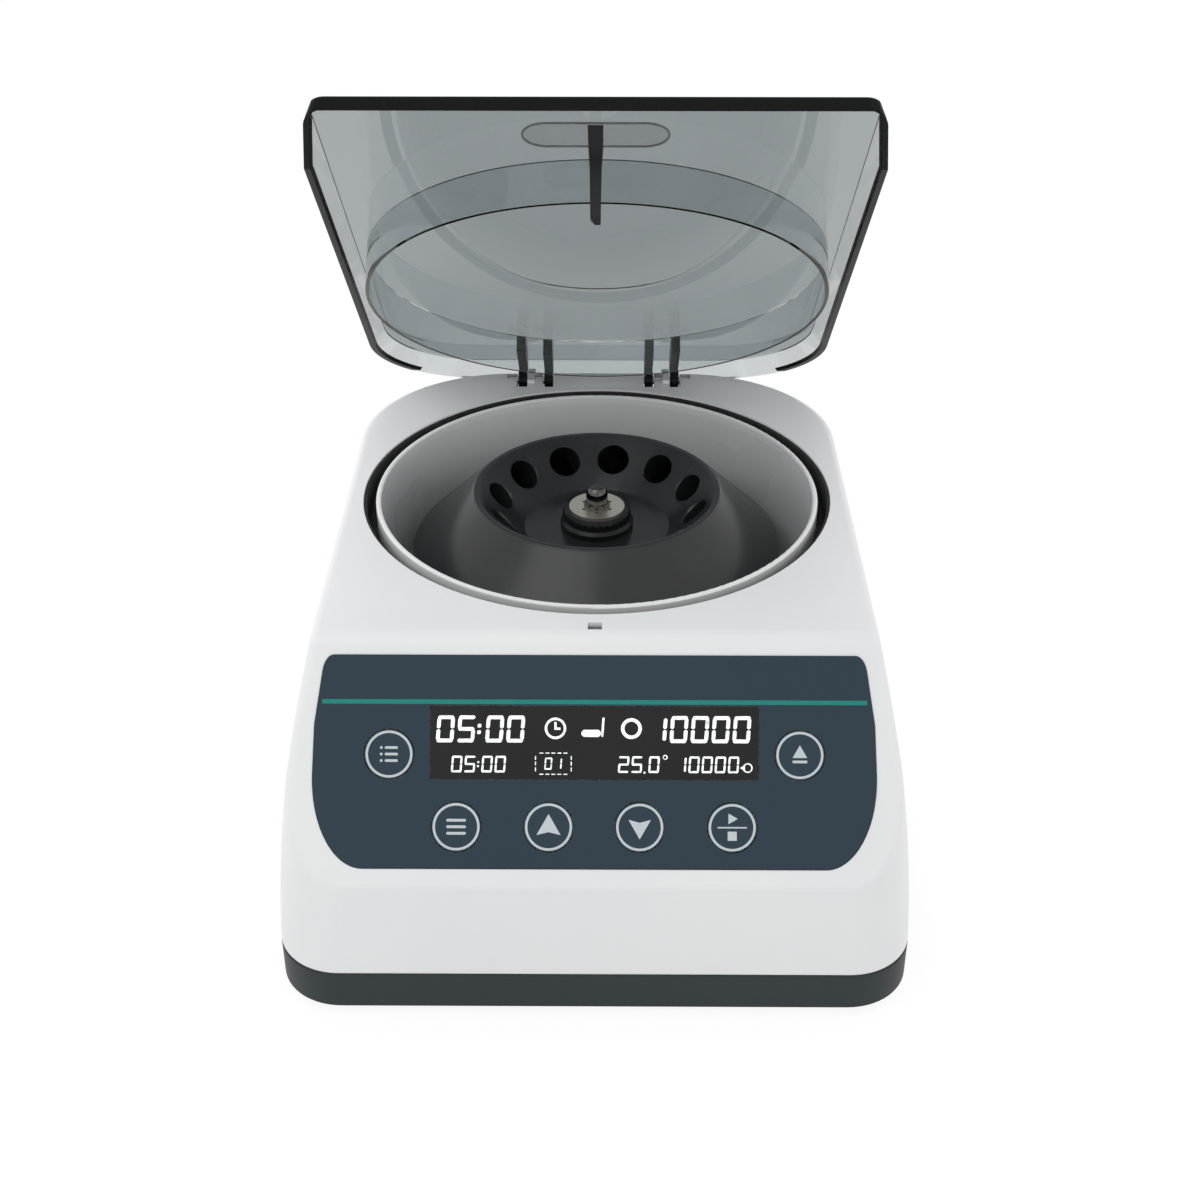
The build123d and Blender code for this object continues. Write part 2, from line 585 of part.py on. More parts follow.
# --- Boards in the base ---
for name, side in (("power_board", -1), ("driver_board", 1)):
    sheet = block(side * 75 - 15, side * 75 + 15, -60, 60, 11.0, 12.6)
    for x, y in board_spots:
        sheet -= disc(1.7, 10, 14, x, y)
    nodes[name] = sheet
transformer = block(-84, -64, 8, 34, 12.6, 34) + block(-86, -62, 12, 30, 16, 30)
capacitors = [disc(6, 12.6, 32, -70, y) for y in (-14, -30)]
nodes["power_board_parts"] = group([transformer, block(-84, -66, 40, 48, 12.6, 26)] + capacitors)
sink = block(70, 72, -30, 30, 12.6, 34)
for step in range(9):
    sink += block(70, 82, -30 + 7.2 * step, -28.4 + 7.2 * step, 14, 34)
chips = [block(64, 69, y - 5, y + 5, 12.6, 28) for y in (-18, 0, 18)]
nodes["driver_board_parts"] = group([sink, block(66, 82, 38, 46, 12.6, 22)] + chips)
nodes["circuit_screws"] = group([
    disc(2.7, 12.6, 14.6, x, y) + disc(1.3, 6.0, 13.0, x, y) for x, y in board_spots])

for name, part in nodes.items():
    solids = [Pos(0, rotor_axis_y, 0) * solid for solid in part.solids()]
    export_step(solids[0] if len(solids) == 1 else group(solids), f"parts/{name}.step")
print("written", len(nodes), "parts")
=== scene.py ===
import bpy
import bmesh
import math
from mathutils import Matrix, Vector


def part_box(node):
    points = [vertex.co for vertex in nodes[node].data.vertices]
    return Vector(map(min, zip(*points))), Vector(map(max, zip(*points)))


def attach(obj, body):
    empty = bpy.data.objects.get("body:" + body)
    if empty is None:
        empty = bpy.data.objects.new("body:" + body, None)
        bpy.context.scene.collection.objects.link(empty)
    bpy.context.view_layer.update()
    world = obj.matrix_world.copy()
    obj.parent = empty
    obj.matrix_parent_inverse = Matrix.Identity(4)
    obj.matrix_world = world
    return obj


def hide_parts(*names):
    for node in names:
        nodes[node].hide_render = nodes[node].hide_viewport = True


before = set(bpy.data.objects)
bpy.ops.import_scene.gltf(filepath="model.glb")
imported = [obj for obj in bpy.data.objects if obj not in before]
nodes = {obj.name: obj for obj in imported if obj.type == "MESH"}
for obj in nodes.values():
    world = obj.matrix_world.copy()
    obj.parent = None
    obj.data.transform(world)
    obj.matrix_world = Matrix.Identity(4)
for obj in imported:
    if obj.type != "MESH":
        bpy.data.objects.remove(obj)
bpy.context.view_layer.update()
print("frame loaded,", len(nodes), "parts")

mm = 0.001
bandScale = 0.314  # a wave texture of this scale repeats once a metre
rotorY = 15.61 * mm  # the rotor's axis, behind the origin


# colour and shader helpers
def linear(hexColour):
    # sRGB hex to the linear colour that the shaders take
    channels = [int(hexColour[i:i + 2], 16) / 255 for i in (1, 3, 5)]
    return [c / 12.92 if c <= 0.04045 else ((c + 0.055) / 1.055) ** 2.4 for c in channels] + [1.0]


def addNode(tree, kind, settings=None, links=None):
    # one node, with its settings and what is plugged into it
    node = tree.nodes.new(kind)
    for name, value in (settings or {}).items():
        if isinstance(name, int) or name in node.inputs:
            node.inputs[name].default_value = value
        else:
            setattr(node, name, value)
    for name, source in (links or {}).items():
        tree.links.new(source, node.inputs[name])
    return node


def newMaterial(name):
    material = bpy.data.materials.new(name)
    material.use_nodes = True
    tree = material.node_tree
    return material, tree, tree.nodes["Principled BSDF"]


def plug(tree, source, shader, socket):
    tree.links.new(source, shader.inputs[socket])


def objectPlace(tree):
    return addNode(tree, "ShaderNodeTexCoord").outputs["Object"]


def noiseOf(tree, place, sizeMm, detail=2.0, rough=0.5):
    # cloudy noise whose blobs are about this many millimetres wide
    settings = {"Scale": 1 / (sizeMm * mm), "Detail": detail, "Roughness": rough}
    return addNode(tree, "ShaderNodeTexNoise", settings, {"Vector": place})


def shades(tree, factor, low, high, start=0.3, end=0.7):
    # blends two colours by a factor
    ramp = addNode(tree, "ShaderNodeValToRGB", None, {"Fac": factor})
    ramp.color_ramp.elements[0].position = start
    ramp.color_ramp.elements[0].color = linear(low)
    ramp.color_ramp.elements[1].position = end
    ramp.color_ramp.elements[1].color = linear(high)
    return ramp.outputs["Color"]


def spread(tree, factor, low, high):
    # a number between low and high
    settings = {"From Min": 0.3, "From Max": 0.7, "To Min": low, "To Max": high}
    return addNode(tree, "ShaderNodeMapRange", settings, {"Value": factor}).outputs["Result"]


def roughAround(tree, factor, rough, swing, shader):
    # roughness that wanders by the swing to either side
    plug(tree, spread(tree, factor, rough - swing, rough + swing), shader, "Roughness")


def bumped(tree, height, depthMm, normal=None):
    links = {"Height": height}
    if normal:
        links["Normal"] = normal
    settings = {"Distance": depthMm * mm, "Strength": 1.0}
    return addNode(tree, "ShaderNodeBump", settings, links).outputs["Normal"]


def softEdge(tree, radiusMm):
    # edges broken by the tool, so that they catch the light
    settings = {"samples": 6, "Radius": radiusMm * mm}
    return addNode(tree, "ShaderNodeBevel", settings).outputs["Normal"]


# materials
def mouldedPlastic(name, look):
    # injection moulded, spark textured tool: a dull even sheen, with a very fine grain
    material, tree, shader = newMaterial(name)
    place = objectPlace(tree)
    cloud = noiseOf(tree, place, look["cloudMm"]).outputs["Fac"]
    grain = noiseOf(tree, place, look["grainMm"], 3.0, 0.6).outputs["Fac"]
    plug(tree, shades(tree, cloud, look["dark"], look["light"]), shader, "Base Color")
    roughAround(tree, cloud, look["rough"], 0.04, shader)
    edge = softEdge(tree, look["edgeMm"]) if look.get("edgeMm") else None
    plug(tree, bumped(tree, grain, look["depthMm"], edge), shader, "Normal")
    shader.inputs["IOR"].default_value = 1.53
    shader.inputs["Specular IOR Level"].default_value = look.get("shine", 0.5)
    return material


whiteAbs = mouldedPlastic("moulded_white_abs", {
    "light": "#f3f5f5", "dark": "#eff1f2", "rough": 0.42, "cloudMm": 60, "grainMm": 0.7,
    "depthMm": 0.012, "edgeMm": 0.35})  # pale shell, even in colour
slateAbs = mouldedPlastic("moulded_slate_abs", {
    "light": "#31393d", "dark": "#2e3639", "rough": 0.5, "cloudMm": 50, "grainMm": 0.7,
    "depthMm": 0.02, "edgeMm": 0.35, "shine": 0.2})  # dull blue grey tray
blackAbs = mouldedPlastic("moulded_black_abs", {
    "light": "#1e2123", "dark": "#191b1d", "rough": 0.42, "cloudMm": 20, "grainMm": 0.6,
    "depthMm": 0.01, "edgeMm": 0.2, "shine": 0.2})  # hinge arms and hook
greyAbs = mouldedPlastic("moulded_grey_abs", {
    "light": "#b4b6b6", "dark": "#adafb0", "rough": 0.45, "cloudMm": 20, "grainMm": 0.6,
    "depthMm": 0.01, "edgeMm": 0.2})
rimAbs = mouldedPlastic("polished_white_rim", {
    "light": "#f5f7f6", "dark": "#f0f2f2", "rough": 0.25, "cloudMm": 40, "grainMm": 1.5,
    "depthMm": 0.004})  # smooth bead round the bowl
bowlPaintedLight = mouldedPlastic("satin_bowl_painted_light", {
    "light": "#e9eaea", "dark": "#e4e5e5", "rough": 0.3, "cloudMm": 45, "grainMm": 1.2,
    "depthMm": 0.008})  # satin wall, its grey painted almost white: painted light for the dim inside of the bowl
rotorNylon = mouldedPlastic("glass_filled_nylon", {
    "light": "#242526", "dark": "#1e1f20", "rough": 0.24, "cloudMm": 18, "grainMm": 0.5,
    "depthMm": 0.006, "edgeMm": 0.25, "shine": 0.4})  # satin, almost black
knobNylon = mouldedPlastic("ribbed_black_nylon", {
    "light": "#17181a", "dark": "#121314", "rough": 0.34, "cloudMm": 10, "grainMm": 0.5,
    "depthMm": 0.008, "edgeMm": 0.3, "shine": 0.25})
socketNylon = mouldedPlastic("socket_black_nylon", {
    "light": "#1f2122", "dark": "#191b1c", "rough": 0.5, "cloudMm": 10, "grainMm": 0.5,
    "depthMm": 0.02, "edgeMm": 0.2})
rockerNylon = mouldedPlastic("rocker_black_nylon", {
    "light": "#1b1c1d", "dark": "#161718", "rough": 0.24, "cloudMm": 10, "grainMm": 1.0,
    "depthMm": 0.004, "edgeMm": 0.25})  # polished by fingers


def rubber(name, look):
    # moulded rubber: matt, faintly dusty, with a pebbled skin
    material, tree, shader = newMaterial(name)
    place = objectPlace(tree)
    dust = noiseOf(tree, place, look["dustMm"], 4.0, 0.65).outputs["Fac"]
    pebble = addNode(tree, "ShaderNodeTexVoronoi", {"Scale": 1 / (look["pebbleMm"] * mm)},
                     {"Vector": place}).outputs["Distance"]
    plug(tree, shades(tree, dust, look["dark"], look["light"]), shader, "Base Color")
    plug(tree, bumped(tree, pebble, 0.02), shader, "Normal")
    shader.inputs["Roughness"].default_value = 0.82
    shader.inputs["IOR"].default_value = 1.52
    return material


blackRubber = rubber("black_rubber", {
    "light": "#2b2b2b", "dark": "#1c1c1c", "dustMm": 3, "pebbleMm": 0.8})


def panelFilm(name, look):
    # printed polycarbonate film with a velvet face: even colour, soft broken sheen
    material, tree, shader = newMaterial(name)
    place = objectPlace(tree)
    velvet = noiseOf(tree, place, look["velvetMm"], 2.0, 0.7).outputs["Fac"]
    cloud = noiseOf(tree, place, 70).outputs["Fac"]
    plug(tree, shades(tree, cloud, look["dark"], look["light"]), shader, "Base Color")
    plug(tree, bumped(tree, velvet, 0.006), shader, "Normal")
    roughAround(tree, cloud, look["rough"], 0.03, shader)
    shader.inputs["IOR"].default_value = 1.58
    shader.inputs["Specular IOR Level"].default_value = look["shine"]
    return material


slateFilm = panelFilm("printed_slate_film", {
    "light": "#35444e", "dark": "#33424c", "rough": 0.55, "shine": 0.1, "velvetMm": 0.5})
keyFilm = panelFilm("raised_key_film", {
    "light": "#35444e", "dark": "#33424c", "rough": 0.5, "shine": 0.12, "velvetMm": 0.5})


def ink(name, colour, glow=0.0):
    # screen printed ink: flat and slightly mottled where the mesh laid it down
    material, tree, shader = newMaterial(name)
    mottle = noiseOf(tree, objectPlace(tree), 1.5, 3.0).outputs["Fac"]
    low, high = colour
    tone = shades(tree, mottle, low, high)
    plug(tree, tone, shader, "Base Color")
    shader.inputs["Roughness"].default_value = 0.55
    shader.inputs["Specular IOR Level"].default_value = 0.2
    if glow:
        shader.inputs["Emission Color"].default_value = linear(high)
        shader.inputs["Emission Strength"].default_value = glow
    return material


whiteInk = ink("white_screen_ink", ("#cbd3d8", "#d2d9dd"))
tealInk = ink("teal_screen_ink", ("#23867d", "#288c84"))
litSegment = ink("lit_display_segment", ("#2a2a2a", "#f2f4f4"), 0.85)


def tintedWindow(name):
    # dark dyed acrylic in front of the display: flat, glossy and nearly black
    material, tree, shader = newMaterial(name)
    waves = noiseOf(tree, objectPlace(tree), 18, 1.0).outputs["Fac"]
    plug(tree, shades(tree, waves, "#1f1f20", "#232324"), shader, "Base Color")
    plug(tree, bumped(tree, waves, 0.004), shader, "Normal")
    shader.inputs["Roughness"].default_value = 0.14
    shader.inputs["IOR"].default_value = 1.49
    shader.inputs["Specular IOR Level"].default_value = 0.22
    return material


windowAcrylic = tintedWindow("dark_window_acrylic")


def smokedAcrylic(name, look):
    # moulded smoked acrylic: clear grey, darker the longer the light runs in it
    material, tree, shader = newMaterial(name)
    flow = noiseOf(tree, objectPlace(tree), look["flowMm"], 1.0).outputs["Fac"]
    plug(tree, spread(tree, flow, look["rough"] * 0.7, look["rough"] * 1.3), shader, "Roughness")
    shader.inputs["Base Color"].default_value = linear("#fdfefe")
    shader.inputs["IOR"].default_value = 1.49
    shader.inputs["Transmission Weight"].default_value = 1.0
    volume = addNode(tree, "ShaderNodeVolumeAbsorption", {
        "Color": linear(look["tint"]), "Density": look["density"]})
    output = tree.nodes["Material Output"]
    tree.links.new(volume.outputs["Volume"], output.inputs["Volume"])
    return material


smoked = smokedAcrylic("smoked_acrylic", {
    "tint": "#385f6c", "density": 264.0, "rough": 0.02, "flowMm": 40})


def clearMoulding(name, look):
    # thin water-clear moulding: a faint grey veil of the given strength, the same from every side
    material, tree, shader = newMaterial(name)
    flow = noiseOf(tree, objectPlace(tree), look["flowMm"], 1.0).outputs["Fac"]
    plug(tree, shades(tree, flow, look["dark"], look["light"]), shader, "Base Color")
    plug(tree, spread(tree, flow, look["veil"] * 0.9, look["veil"] * 1.1), shader, "Alpha")
    shader.inputs["Roughness"].default_value = 0.2
    shader.inputs["IOR"].default_value = 1.49
    shader.inputs["Specular IOR Level"].default_value = 0.2
    return material


padFace = clearMoulding("clear_pad_face", {
    "light": "#33393b", "dark": "#2b3032", "veil": 0.1, "flowMm": 12})
# the bead's darker, thicker veil is painted shade, standing in for the clear bead seen edge on
padRimEdgeShade = clearMoulding("clear_pad_rim_edge_shade", {
    "light": "#272c2e", "dark": "#1f2426", "veil": 0.42, "flowMm": 6})


def glossBlack(name):
    # polished black strip on the lid's rim: painted shade that stands in for the dark look of the
    # smoked lid's rim seen edge on
    material, tree, shader = newMaterial(name)
    flow = noiseOf(tree, objectPlace(tree), 12, 2.0).outputs["Fac"]
    plug(tree, shades(tree, flow, "#0d0e0f", "#101112"), shader, "Base Color")
    plug(tree, spread(tree, flow, 0.24, 0.32), shader, "Roughness")
    plug(tree, bumped(tree, flow, 0.006, softEdge(tree, 0.4)), shader, "Normal")
    shader.inputs["IOR"].default_value = 1.5
    shader.inputs["Specular IOR Level"].default_value = 0.12
    return material


edgeShadeStrip = glossBlack("polished_black_edge_shade")


def turnedMetal(name, look):
    # metal turned about the rotor's axis: fine rings that streak the highlight
    material, tree, shader = newMaterial(name)
    place = addNode(tree, "ShaderNodeMapping", {"Location": (0, -rotorY, 0)},
                    {"Vector": objectPlace(tree)}).outputs["Vector"]
    rings = addNode(tree, "ShaderNodeTexWave", {
        "wave_type": "RINGS", "rings_direction": "Z", "Scale": bandScale / (look["ringMm"] * mm),
        "Distortion": 0.4}, {"Vector": place}).outputs["Fac"]
    stain = noiseOf(tree, place, look["stainMm"], 3.0).outputs["Fac"]
    plug(tree, shades(tree, stain, look["dark"], look["light"]), shader, "Base Color")
    roughAround(tree, stain, look["rough"], 0.05, shader)
    plug(tree, bumped(tree, rings, look["depthMm"]), shader, "Normal")
    shader.inputs["Metallic"].default_value = 1.0
    return material


turnedSteel = turnedMetal("turned_satin_steel", {
    "light": "#e2dccf", "dark": "#d6d0c3", "rough": 0.34, "ringMm": 0.5, "depthMm": 0.004,
    "stainMm": 4})
# the chrome's colour is painted dark: painted reflection of the dark lid and rotor that the nut
# mirrors
chrome = turnedMetal("chrome_painted_dark", {
    "light": "#5e5d5c", "dark": "#525150", "rough": 0.12, "ringMm": 0.6, "depthMm": 0.0005,
    "stainMm": 3})
groundSteel = turnedMetal("ground_steel", {
    "light": "#bfc0c1", "dark": "#b1b2b4", "rough": 0.22, "ringMm": 0.3, "depthMm": 0.002,
    "stainMm": 6})
castAluminium = turnedMetal("turned_aluminium", {
    "light": "#c8cacc", "dark": "#b9bbbd", "rough": 0.4, "ringMm": 0.6, "depthMm": 0.006,
    "stainMm": 8})


def sheetMetal(name, look):
    # plated sheet or wire: crystals of plating over faint rolling marks
    material, tree, shader = newMaterial(name)
    place = objectPlace(tree)
    spangle = addNode(tree, "ShaderNodeTexVoronoi", {"Scale": 1 / (look["spangleMm"] * mm)},
                      {"Vector": place}).outputs["Color"]
    stretch = addNode(tree, "ShaderNodeMapping", {"Scale": (1.0, 0.03, 1.0)}, {"Vector": place})
    rolled = noiseOf(tree, stretch.outputs["Vector"], 0.6, 3.0).outputs["Fac"]
    plug(tree, shades(tree, spangle, look["dark"], look["light"], 0.0, 1.0), shader, "Base Color")
    roughAround(tree, rolled, look["rough"], 0.08, shader)
    plug(tree, bumped(tree, rolled, 0.004), shader, "Normal")
    shader.inputs["Metallic"].default_value = 1.0
    return material


zincSheet = sheetMetal("zinc_plated_sheet", {
    "light": "#c4c8ca", "dark": "#b3b7b9", "rough": 0.38, "spangleMm": 5})
zincScrew = sheetMetal("zinc_plated_screw", {
    "light": "#cfd2d3", "dark": "#c1c4c6", "rough": 0.3, "spangleMm": 2})
nickelPin = sheetMetal("nickel_plated_brass", {
    "light": "#d3cfc5", "dark": "#c5c1b6", "rough": 0.2, "spangleMm": 3})
motorSteel = sheetMetal("laminated_steel", {
    "light": "#8b8d8f", "dark": "#77797b", "rough": 0.45, "spangleMm": 3})


def enamel(name, look):
    # sprayed enamel on steel: a tight orange peel under the gloss
    material, tree, shader = newMaterial(name)
    place = objectPlace(tree)
    peel = noiseOf(tree, place, look["peelMm"], 1.5).outputs["Fac"]
    plug(tree, shades(tree, peel, look["dark"], look["light"]), shader, "Base Color")
    plug(tree, bumped(tree, peel, 0.01), shader, "Normal")
    shader.inputs["Roughness"].default_value = look["rough"]
    shader.inputs["Coat Weight"].default_value = 0.3
    shader.inputs["Coat Roughness"].default_value = 0.15
    return material


blackEnamel = enamel("black_enamel", {
    "light": "#202224", "dark": "#1a1c1e", "rough": 0.4, "peelMm": 1.5})
coilTape = enamel("coil_wrap_tape", {
    "light": "#2b2d30", "dark": "#232528", "rough": 0.55, "peelMm": 2})


def solderMask(name):
    # green solder mask over etched copper: tracks show as paler lines under the varnish
    material, tree, shader = newMaterial(name)
    place = objectPlace(tree)
    tracks = addNode(tree, "ShaderNodeTexBrick", {
        "Scale": 1 / (18 * mm), "Mortar Size": 0.018, "Mortar Smooth": 0.0, "Brick Width": 0.7,
        "Row Height": 0.16, "offset": 0.37, "Color1": linear("#17653a"),
        "Color2": linear("#145a34"), "Mortar": linear("#2f8a55")}, {"Vector": place})
    plug(tree, tracks.outputs["Color"], shader, "Base Color")
    plug(tree, bumped(tree, tracks.outputs["Fac"], 0.03), shader, "Normal")
    shader.inputs["Roughness"].default_value = 0.3
    shader.inputs["Coat Weight"].default_value = 0.5
    return material


greenBoard = solderMask("green_solder_mask")


def woundCopper(name):
    # enamelled copper wire laid in even turns
    material, tree, shader = newMaterial(name)
    place = objectPlace(tree)
    turns = addNode(tree, "ShaderNodeTexWave", {
        "bands_direction": "Z", "Scale": bandScale / (0.7 * mm), "Distortion": 0.2},
        {"Vector": place}).outputs["Fac"]
    # the colour follows the bump: dark brown in the grooves between turns is painted shade, bright
    # copper on the crests is painted highlight
    plug(tree, shades(tree, turns, "#7d3a1c", "#c06a35", 0.1, 0.8), shader, "Base Color")
    plug(tree, bumped(tree, turns, 0.15), shader, "Normal")
    shader.inputs["Metallic"].default_value = 0.9
    shader.inputs["Roughness"].default_value = 0.32
    return material


copperWinding = woundCopper("enamelled_copper_wire")


def boardPart(name):
    # epoxy and anodised parts on the boards: dull dark bodies with a mottled skin
    material, tree, shader = newMaterial(name)
    mottle = noiseOf(tree, objectPlace(tree), 5, 3.0).outputs["Fac"]
    plug(tree, shades(tree, mottle, "#26282b", "#33363a"), shader, "Base Color")
    plug(tree, spread(tree, mottle, 0.4, 0.6), shader, "Roughness")
    shader.inputs["IOR"].default_value = 1.55
    return material


boardBlack = boardPart("moulded_epoxy")

finishes = {
    "white_abs": whiteAbs, "slate_abs": slateAbs, "black_rubber": blackRubber,
    "zinc_screws": zincScrew, "slate_film": slateFilm, "key_film": keyFilm,
    "tinted_lens": windowAcrylic, "display_black": boardBlack, "green_board": greenBoard,
    "grey_bowl": bowlPaintedLight, "zinc_sheet": zincSheet, "black_enamel": blackEnamel,
    "cast_aluminium": castAluminium, "copper_winding": copperWinding, "motor_steel": motorSteel,
    "ground_steel": groundSteel, "rotor_nylon": rotorNylon, "knob_black": knobNylon,
    "satin_steel": turnedSteel, "chrome_nut": chrome, "smoked_acrylic": smoked,
    "black_strip": edgeShadeStrip, "black_abs": blackAbs, "grey_abs": greyAbs,
    "nickel_pins": nickelPin, "rocker_black": rockerNylon, "board_parts": boardBlack,
}
ownFinish = {
    "bowl_rim": rimAbs, "mains_inlet": socketNylon, "power_switch_frame": socketNylon,
    "latch_solenoid": coilTape}

for name, part in nodes.items():
    for holder in part.material_slots:
        holder.material = ownFinish.get(name, finishes[holder.material.name.split(".")[0]])
print("finishes on the parts")


# printing on the sloping panel
panel = {"creaseY": -78.19 * mm, "topZ": 114.5 * mm, "slope": 55.3, "inkThick": 0.04 * mm,
         "inkSunk": 0.01 * mm}
panelPlace = Matrix.Translation((0, panel["creaseY"], panel["topZ"])) @ Matrix.Rotation(
    math.radians(panel["slope"]), 4, "X")


def onPanel(node):
    # middle and top of a part, measured across, up and out of the panel
    points = [panelPlace.inverted() @ v.co for v in nodes[node].data.vertices]
    spans = [(min(p[i] for p in points), max(p[i] for p in points)) for i in range(3)]
    return (spans[0][0] + spans[0][1]) / 2, (spans[1][0] + spans[1][1]) / 2, spans[2][1]


def startEdit(part):
    bpy.context.view_layer.objects.active = part
    bpy.ops.object.mode_set(mode="EDIT")


def pick(part, kind, wanted):
    # in edit mode, selects only the corners, edges or faces that are wanted
    bpy.ops.mesh.select_mode(type={"verts": "VERT", "edges": "EDGE", "faces": "FACE"}[kind])
    bpy.ops.mesh.select_all(action="DESELECT")
    shape = bmesh.from_edit_mesh(part.data)
    for item in getattr(shape, kind):
        item.select = wanted(item)
    bmesh.update_edit_mesh(part.data)


def endEdit():
    bpy.ops.object.mode_set(mode="OBJECT")


def thicken(part, thick):
    # a flat outline drawn up into a plate
    startEdit(part)
    bpy.ops.mesh.select_all(action="SELECT")
    bpy.ops.mesh.extrude_region_move(TRANSFORM_OT_translate={"value": (0, 0, thick)})
    bpy.ops.mesh.select_all(action="SELECT")
    bpy.ops.mesh.normals_make_consistent(inside=False)
    endEdit()
    return part


def flatRectangle(across, up):
    bpy.ops.object.select_all(action="DESELECT")
    bpy.ops.mesh.primitive_plane_add(size=1)
    rectangle = bpy.context.object
    rectangle.scale = (across, up, 1)
    bpy.ops.object.transform_apply(location=False, rotation=False, scale=True)
    return rectangle


def setInk(part, x, y, turn=0.0):
    # thickens a flat print and puts it in its place, turned by degrees
    thicken(part, panel["inkThick"])
    part.rotation_euler.z = math.radians(turn)
    part.location = (x, y, 0)
    bpy.ops.object.transform_apply()
    return part


def inkBar(across, up, tip=0.0, turn=0.0, x=0.0, y=0.0):
    # bar of ink, with its ends cut towards a point
    bar = flatRectangle(across, up)
    if tip:
        startEdit(bar)
        bpy.ops.mesh.select_all(action="SELECT")
        bpy.ops.mesh.bevel(offset=tip, segments=1, affect="VERTICES")
        endEdit()
    return setInk(bar, x, y, turn)


def inkRing(radius, line, x=0.0, y=0.0, sides=72):
    bpy.ops.object.select_all(action="DESELECT")
    bpy.ops.mesh.primitive_circle_add(vertices=sides, radius=radius, fill_type="NGON")
    ring = bpy.context.object
    startEdit(ring)
    bpy.ops.mesh.select_all(action="SELECT")
    bpy.ops.mesh.inset(thickness=line)
    bpy.ops.mesh.delete(type="FACE")
    endEdit()
    return setInk(ring, x, y)


def inkArrow(radius, turn, x, y, notch=0.0):
    # three-cornered mark, its base pushed in by the notch
    bpy.ops.object.select_all(action="DESELECT")
    bpy.ops.mesh.primitive_circle_add(vertices=3, radius=radius, fill_type="NGON")
    arrow = bpy.context.object
    if notch:
        startEdit(arrow)
        pick(arrow, "edges", lambda e: all(v.co.y < 0 for v in e.verts))
        bpy.ops.mesh.subdivide(number_cuts=1)
        pick(arrow, "verts", lambda v: v.co.y < 0 and abs(v.co.x) < radius * 0.1)
        bpy.ops.transform.translate(value=(0, notch, 0))
        endEdit()
    return setInk(arrow, x, y, turn)


def joined(parts, name):
    bpy.ops.object.select_all(action="DESELECT")
    for part in parts:
        part.select_set(True)
    bpy.context.view_layer.objects.active = parts[0]
    if len(parts) > 1:
        bpy.ops.object.join()
    whole = bpy.context.object
    whole.name = name
    whole.data.name = name
    return whole


def layOnPanel(part, height, body, material):
    # lifts a flat print to its height and tips it on to the slope
    part.matrix_world = panelPlace @ Matrix.Translation((0, 0, height))
    bpy.ops.object.select_all(action="DESELECT")
    part.select_set(True)
    bpy.context.view_layer.objects.active = part
    bpy.ops.object.transform_apply()
    part.data.materials.clear()
    part.data.materials.append(material)
    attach(part, body)
    return part


# clear pad on the top of the lid, where a thumb presses it shut, and the bead round it
pad = {"across": 44.5 * mm, "deep": 15.5 * mm, "thick": 0.3 * mm, "reach": 189.0 * mm,
       "bead": 0.6 * mm, "beadThick": 0.45 * mm, "gap": 0.02 * mm, "air": 0.03 * mm,
       "endSteps": 24, "endFlat": 0.01 * mm, "merge": 0.05 * mm}
lid = {"hingeY": 112.01 * mm, "hingeZ": 111.7 * mm, "open": 44.1, "topZ": 125.1 * mm}
lidPlace = (Matrix.Translation((0, lid["hingeY"], lid["hingeZ"]))
            @ Matrix.Rotation(math.radians(-lid["open"]), 4, "X")
            @ Matrix.Translation((0, -pad["reach"], lid["topZ"] - lid["hingeZ"] + pad["air"])))


def flatOval(across, deep):
    # flat outline with round ends
    oval = flatRectangle(across, deep)
    startEdit(oval)
    bpy.ops.mesh.select_all(action="SELECT")
    bpy.ops.mesh.bevel(offset=deep / 2 - pad["endFlat"], segments=pad["endSteps"],
                       affect="VERTICES")
    bpy.ops.mesh.remove_doubles(threshold=pad["merge"])
    endEdit()
    return oval


def layOnLid(part, name, material):
    part.name = name
    part.data.name = name
    part.matrix_world = lidPlace
    bpy.ops.object.transform_apply()
    part.data.materials.append(material)
    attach(part, "lid")


# the plate is a hair smaller than the bead's inner edge, so that they don't share a wall
inset = 2 * (pad["bead"] + pad["gap"])
padPlate = thicken(flatOval(pad["across"] - inset, pad["deep"] - inset), pad["thick"])
layOnLid(padPlate, "press_pad_plate", padFace)
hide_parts("press_pad")
edges = [flatOval(pad["across"] - trim, pad["deep"] - trim) for trim in (0, 2 * pad["bead"])]
padBead = joined(edges, "press_pad_bead")
startEdit(padBead)
bpy.ops.mesh.select_all(action="SELECT")
bpy.ops.mesh.delete(type="ONLY_FACE")
bpy.ops.mesh.select_all(action="SELECT")
bpy.ops.mesh.bridge_edge_loops()
endEdit()
layOnLid(thicken(padBead, pad["beadThick"]), "press_pad_bead", padRimEdgeShade)

# black skin that carries the painted edge shade round the two front corners of the lid
corner = {"fromX": 80.5 * mm, "fromReach": 202.0 * mm, "fromRise": 6.0 * mm, "proud": 0.05 * mm,
          "merge": 0.01 * mm, "innerX": 82.0 * mm, "innerReach": 205.7 * mm, "flat": 0.7}
lidClosed = (Matrix.Translation((0, lid["hingeY"], lid["hingeZ"]))
             @ Matrix.Rotation(math.radians(lid["open"]), 4, "X")
             @ Matrix.Translation((0, -lid["hingeY"], -lid["hingeZ"])))


def cutAway(point, outward):
    # in edit mode, keeps only what lies on the outward side of a plane
    bpy.ops.mesh.select_all(action="SELECT")
    bpy.ops.mesh.bisect(plane_co=point, plane_no=outward, clear_inner=True)


